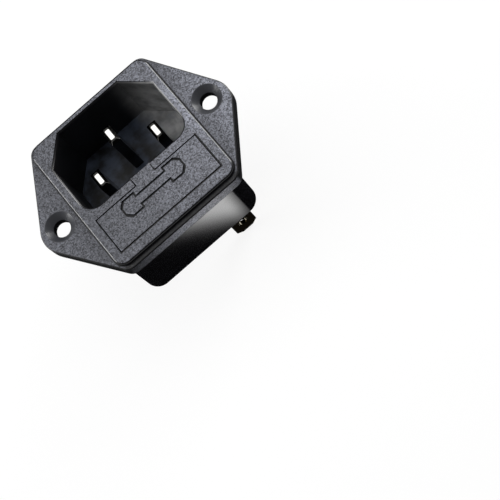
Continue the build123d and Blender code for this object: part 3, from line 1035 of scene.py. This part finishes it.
@dataclass
class RearMarks:
    """Raised terminal marks on the rear ribs: N, L and the earth sign, read from behind. Millimetres."""

    plastic: MouldedPlastic = MouldedPlastic("black_marks", smooth_colour=(0.012, 0.012, 0.014))
    rib_level: float = -14.2
    wall_level: float = -13.4
    rise: float = 0.12
    stroke: float = 0.26
    slant: float = 1.7
    letter_width: float = 1.3
    letter_height: float = 1.7
    foot_share: float = 0.85
    neutral_place: Pair = (11.9, 4.6)
    line_place: Pair = (-10.8, 4.9)
    earth_place: Pair = (-6.2, 12.4)
    earth_stroke: float = 0.16
    earth_bars: tuple[Pair, ...] = ((1.5, 0.62), (0.95, 0.26), (0.4, -0.10))
    earth_stem: Pair = (0.64, 1.3)

    def build(self, effects: Effects) -> None:
        """Builds the marks as one piece.

        Args:
            effects: the shared node groups.
        """
        shapes = bmesh.new()
        stroke, width, height = self.stroke, self.letter_width, self.letter_height
        slope, foot = self.slant * stroke, width * self.foot_share
        neutral = [(0, 0), (stroke, 0), (stroke, height - slope), (width - stroke, 0), (width, 0),
                   (width, height), (width - stroke, height), (width - stroke, slope), (stroke, height),
                   (0, height)]
        line = [(0, 0), (foot, 0), (foot, stroke), (stroke, stroke), (stroke, height), (0, height)]
        self._raise(shapes, neutral, self.neutral_place, self.rib_level)
        self._raise(shapes, line, self.line_place, self.rib_level)
        bars = [(-length / 2, top - self.earth_stroke, length / 2, top) for length, top in self.earth_bars]
        bars.append((-self.earth_stroke / 2, self.earth_stem[0], self.earth_stroke / 2, self.earth_stem[1]))
        for left, low, right, high in bars:
            bar = [(left, low), (right, low), (right, high), (left, high)]
            self._raise(shapes, bar, self.earth_place, self.wall_level)
        bmesh.ops.recalc_face_normals(shapes, faces=shapes.faces)
        mesh = bpy.data.meshes.new("rear_marks")
        shapes.to_mesh(mesh)
        shapes.free()
        mesh.materials.append(self.plastic.make(effects))
        finish_piece("rear_marks", mesh, INLET)

    def _raise(self, shapes: bmesh.types.BMesh, outline: list[Pair], place: Pair, surface: float) -> None:
        """Adds one outline, mirrored so that it reads from behind, raised from a rear-facing surface.

        Args:
            shapes: receives the raised outline.
            outline: its corners, in millimetres.
            place: where the outline's zero lies.
            surface: the level that it stands on.
        """
        low = [shapes.verts.new(((place[0] - x) * MM, (place[1] + y) * MM, surface * MM)) for x, y in outline]
        high = [shapes.verts.new((v.co.x, v.co.y, (surface - self.rise) * MM)) for v in low]
        shapes.faces.new(low)
        shapes.faces.new(high)
        for i, corner in enumerate(low):
            after = (i + 1) % len(low)
            shapes.faces.new((corner, low[after], high[after], high[i]))


@dataclass
class PeenedPetals:
    """The swollen petals that peening raises on the five star-shaped heads. Places in millimetres."""

    brass: Metal = Metal("peened_brass", (0.95, 0.74, 0.34), (0.70, 0.46, 0.16), rough=0.20)
    heads: tuple[Pair, ...] = PIN_PLACES + CLIP_RIVET_PLACES
    level: float = -14.86
    petals: int = 4
    ring: float = 1.15
    size: Triple = (0.62, 0.42, 0.16)
    segments: int = 20
    rows: int = 10

    def build(self, effects: Effects) -> None:
        """Builds all petals with one Geometry Nodes tree and keeps them as one mesh.

        Args:
            effects: the shared node groups.
        """
        seeds = bpy.data.meshes.new("petal_seeds")
        seeds.from_pydata([(x * MM, y * MM, self.level * MM) for x, y in self.heads], [], [])
        holder = bpy.data.objects.new("petal_seeds", seeds)
        bpy.context.scene.collection.objects.link(holder)
        tree = self._tree()
        maker = holder.modifiers.new("petals", "NODES")
        maker.node_group = tree
        settings = {"Petals": self.petals, "Ring Radius": self.ring * MM,
                    "Petal Size": tuple(length * MM for length in self.size),
                    "Material": self.brass.make(effects)}
        for name, value in settings.items():
            maker[socket_id(tree, name)] = value
        shaped = holder.evaluated_get(bpy.context.evaluated_depsgraph_get())
        mesh = bpy.data.meshes.new_from_object(shaped)
        bpy.data.objects.remove(holder)
        finish_piece("peened_petals", mesh, INLET)

    def _tree(self) -> Tree:
        """Builds the tree: a ring of petals on every seed point, pointing outwards.

        Returns:
            The tree, with the inputs Petals, Ring Radius, Petal Size and Material.
        """
        inputs = {"Petals": "NodeSocketInt", "Ring Radius": FLOAT, "Petal Size": VECTOR,
                  "Material": "NodeSocketMaterial"}
        tree, start, end = new_shape_tree("petal_rings", inputs)
        ring = add_node(tree, "GeometryNodeMeshCircle")
        put(tree, ring.inputs["Vertices"], start.outputs["Petals"])
        put(tree, ring.inputs["Radius"], start.outputs["Ring Radius"])
        ball = add_node(tree, "GeometryNodeMeshUVSphere")
        for name, value in (("Segments", self.segments), ("Rings", self.rows), ("Radius", 1.0)):
            put(tree, ball.inputs[name], value)
        smooth = add_node(tree, "GeometryNodeSetShadeSmooth")
        put(tree, smooth.inputs["Geometry"], ball.outputs["Mesh"])
        petal = add_node(tree, "GeometryNodeTransform")
        put(tree, petal.inputs["Geometry"], smooth.outputs["Geometry"])
        put(tree, petal.inputs["Scale"], start.outputs["Petal Size"])
        outward = add_node(tree, "FunctionNodeAlignRotationToVector", axis="X")
        put(tree, outward.inputs["Vector"], add_node(tree, "GeometryNodeInputPosition").outputs[0])
        petals = add_node(tree, "GeometryNodeInstanceOnPoints")
        put(tree, petals.inputs["Points"], ring.outputs["Mesh"])
        put(tree, petals.inputs["Instance"], petal.outputs["Geometry"])
        put(tree, petals.inputs["Rotation"], outward.outputs[0])
        rings = add_node(tree, "GeometryNodeInstanceOnPoints")
        put(tree, rings.inputs["Points"], start.outputs["Geometry"])
        put(tree, rings.inputs["Instance"], petals.outputs["Instances"])
        real = add_node(tree, "GeometryNodeRealizeInstances")
        put(tree, real.inputs["Geometry"], rings.outputs["Instances"])
        dressed = add_node(tree, "GeometryNodeSetMaterial")
        put(tree, dressed.inputs["Geometry"], real.outputs["Geometry"])
        put(tree, dressed.inputs["Material"], start.outputs["Material"])
        put(tree, end.inputs["Geometry"], dressed.outputs["Geometry"])
        return tree


@dataclass
class Camera:
    """The camera at the photograph's viewing angle: degrees for turns, millimetres or pixels for lengths."""

    azimuth: float = 4.792
    elevation: float = 68.567
    roll: float = -45.403
    aim_x: float = 138.357
    aim_y: float = 167.757
    pixels_per_mm: float = 5.369
    distance: float = 330.97
    frame_pixels: float = 500.0
    sensor: float = 36.0
    clip: Pair = (10.0, 10000.0)

    def build(self) -> None:
        """Creates the camera and makes it the scene's own."""
        turn, lift, roll = (math.radians(a) for a in (self.azimuth, self.elevation, self.roll))
        back = Vector((math.sin(turn) * math.cos(lift), -math.cos(turn) * math.cos(lift), math.sin(lift)))
        flat_right = Vector((math.cos(turn), math.sin(turn), 0.0))
        flat_up = back.cross(flat_right)
        right = math.cos(roll) * flat_right + math.sin(roll) * flat_up
        up = math.cos(roll) * flat_up - math.sin(roll) * flat_right
        half = self.frame_pixels / 2
        aside = -(self.aim_x - half) / self.pixels_per_mm
        above = (self.aim_y - half) / self.pixels_per_mm
        centre = (aside * right + above * up + self.distance * back) * MM
        turned = Matrix((right, up, back)).transposed().to_4x4()
        lens = bpy.data.cameras.new("view_camera")
        lens.sensor_width = self.sensor
        lens.lens = self.pixels_per_mm * self.distance / self.frame_pixels * self.sensor
        lens.clip_start, lens.clip_end = (length * MM for length in self.clip)
        camera = bpy.data.objects.new("view_camera", lens)
        camera.matrix_world = Matrix.Translation(centre) @ turned
        bpy.context.scene.collection.objects.link(camera)
        bpy.context.scene.camera = camera


@dataclass(frozen=True)
class Softbox:
    """One studio lamp: its place, aim and size in millimetres and its strength in watts."""

    name: str
    place: Triple
    width: float
    height: float
    power: float
    aim: Triple = (0.0, 0.0, 0.0)

    def build(self) -> None:
        """Creates the lamp."""
        data = bpy.data.lights.new(self.name, "AREA")
        data.shape = "RECTANGLE"
        data.size = self.width * MM
        data.size_y = self.height * MM
        data.energy = self.power
        lamp = bpy.data.objects.new(self.name, data)
        place = Vector(self.place) * MM
        lamp.location = place
        lamp.rotation_mode = "QUATERNION"
        lamp.rotation_quaternion = (Vector(self.aim) * MM - place).to_track_quat("-Z", "Y")
        bpy.context.scene.collection.objects.link(lamp)


@dataclass(frozen=True)
class MirroredFloor:
    """How bright reflections show the floor: a painted shadow under and behind the object, and a painted
    glowing patch before it. Millimetres.
    """

    glow: float = 0.85
    # painted shadow, seen only in reflections: the floor is dark under and behind the object
    under_glow: float = 0.004
    under_back: Fade = (17.0, 11.0)
    under_front: Fade = (-90.0, -45.0)
    behind: Fade = (34.0, 46.0)
    aside: Fade = (80.0, 40.0)
    # painted glowing patch, seen only in reflections, before the object's lower side
    glow_patch_level: float = 3.3
    glow_patch_slope: float = 1.667
    glow_patch_offset: float = 40.3
    glow_patch_edge: Fade = (-6.0, 8.0)
    glow_patch_right: Fade = (11.2, 7.0)
    glow_patch_near: Fade = (-19.0, -20.5)
    glow_patch_far: Fade = (-33.0, -28.0)

    def strength(self, tree: Tree) -> Socket:
        """Builds the nodes that give the brightness from place to place.

        Args:
            tree: the tree to build in.

        Returns:
            The brightness.
        """
        x, y, _ = axes(tree, object_place(tree))
        # painted shadow under and behind the object
        under = product(tree, fade(tree, y, self.under_back), fade(tree, y, self.under_front))
        dark = product(tree, maths(tree, "MAXIMUM", under, fade(tree, y, self.behind)),
                       fade(tree, maths(tree, "ABSOLUTE", x), self.aside))
        # painted glowing patch before the object
        across = maths(tree, "SUBTRACT", maths(tree, "SUBTRACT", x, product(tree, y, self.glow_patch_slope)),
                       self.glow_patch_offset * MM)
        rise = fade(tree, across, self.glow_patch_edge)
        glow_patch = product(tree, rise, rise, rise, fade(tree, x, self.glow_patch_right), fade(tree, y, self.glow_patch_near),
                       fade(tree, y, self.glow_patch_far), self.glow_patch_level)
        return maths(tree, "ADD", blend_value(tree, dark, self.glow, self.under_glow), glow_patch)


@dataclass(frozen=True)
class PaleFloor:
    """The floor's finish: its own even brightness to the camera, plus the shadow. Millimetres."""

    name: str = "pale_floor"
    lit_colour: Colour = (0.8, 0.8, 0.8)
    shown_colour: Colour = (0.20, 0.20, 0.20)
    shown_glow: Pair = (0.82, 0.90)
    shown_reach: Fade = (120.0, 240.0)
    mirrored: MirroredFloor = MirroredFloor()

    def make(self) -> Material:
        """Builds the material: one look for the camera, one for reflections and one for all other light.

        Returns:
            The finished material.
        """
        material = bpy.data.materials.new(self.name)
        material.use_nodes = True
        tree = material.node_tree
        tree.nodes.clear()
        path = add_node(tree, "ShaderNodeLightPath")
        reach = add_node(tree, "ShaderNodeVectorMath", operation="LENGTH")
        put(tree, reach.inputs[0], object_place(tree))
        level = fade(tree, reach.outputs["Value"], self.shown_reach, *self.shown_glow)
        shown = feed(tree, add_node(tree, "ShaderNodeAddShader"),
                     self._shader(tree, "Emission", Strength=level),
                     self._shader(tree, "BsdfDiffuse", Color=self.shown_colour))
        lit = feed(tree, add_node(tree, "ShaderNodeMixShader"), path.outputs["Is Glossy Ray"],
                   self._shader(tree, "BsdfDiffuse", Color=self.lit_colour),
                   self._shader(tree, "Emission", Strength=self.mirrored.strength(tree)))
        both = feed(tree, add_node(tree, "ShaderNodeMixShader"), path.outputs["Is Camera Ray"], lit, shown)
        put(tree, add_node(tree, "ShaderNodeOutputMaterial").inputs["Surface"], both)
        return material

    @staticmethod
    def _shader(tree: Tree, kind: str, **inputs: object) -> Socket:
        """Adds a shader with its inputs and returns its output."""
        return feed_by_name(tree, add_node(tree, "ShaderNode" + kind), inputs).outputs[0]


@dataclass
class Studio:
    """Pale floor, plain backdrop and soft lamps. Lengths in metres."""

    floor: PaleFloor = PaleFloor()
    floor_level: float = -24.0 * MM
    floor_half: float = 3.0
    sky_colour: Colour = (1.0, 1.0, 1.0)
    backdrop: float = 1.0
    ambient: float = 0.50
    mirror: Pair = (0.03, 0.35)
    mirror_front: Fade = (-0.45, 0.25)
    mirror_height: Fade = (0.2, 0.6)
    lamps: tuple[Softbox, ...] = (
        Softbox("lamp_above", (-10.0, 130.0, 330.0), 260.0, 220.0, 0.22),
        Softbox("lamp_left", (-260.0, 100.0, 60.0), 160.0, 120.0, 0.6),
        Softbox("lamp_right", (260.0, 100.0, 60.0), 160.0, 120.0, 0.6),
    )

    def build(self) -> None:
        """Creates the floor, the world and the lamps."""
        self._floor()
        self._world()
        for lamp in self.lamps:
            lamp.build()
        bpy.context.scene.view_settings.view_transform = "Standard"

    def _floor(self) -> None:
        """Creates the pale floor as one square."""
        mesh = bpy.data.meshes.new("floor")
        half, level = self.floor_half, self.floor_level
        corners = [(-half, -half, level), (half, -half, level), (half, half, level), (-half, half, level)]
        mesh.from_pydata(corners, [], [(0, 1, 2, 3)])
        mesh.materials.append(self.floor.make())
        floor = bpy.data.objects.new("floor", mesh)
        bpy.context.scene.collection.objects.link(floor)

    def _world(self) -> None:
        """Creates the world: white to the camera, soft light, and a darker front for reflections."""
        world = bpy.data.worlds.new("studio_world")
        bpy.context.scene.world = world
        world.use_nodes = True
        tree = world.node_tree
        tree.nodes.clear()
        path = add_node(tree, "ShaderNodeLightPath")
        _, y, z = axes(tree, add_node(tree, "ShaderNodeTexCoord").outputs["Generated"])
        mirror = product(tree, ramp(tree, y, *self.mirror_front), ramp(tree, z, *self.mirror_height))
        mirror = blend_value(tree, mirror, *self.mirror)
        ray = maths(tree, "ADD", path.outputs["Is Glossy Ray"], path.outputs["Is Transmission Ray"],
                    clamp=True)
        level = blend_value(tree, ray, self.ambient, mirror)
        level = blend_value(tree, path.outputs["Is Camera Ray"], level, self.backdrop)
        back = feed_by_name(tree, add_node(tree, "ShaderNodeBackground"),
                            {"Color": self.sky_colour, "Strength": level})
        put(tree, add_node(tree, "ShaderNodeOutputWorld").inputs["Surface"], back.outputs[0])


def main() -> None:
    """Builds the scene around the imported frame."""
    effects = Effects()
    dresser = Dresser()
    for part in (Housing(), Contacts(), Fuse()):
        part.build(dresser, effects)
        LOG.info("built %s", type(part).__name__)
    RearMarks().build(effects)
    PeenedPetals().build(effects)
    Camera().build()
    Studio().build()
    bpy.context.view_layer.update()


if __name__ == "__main__":
    main()
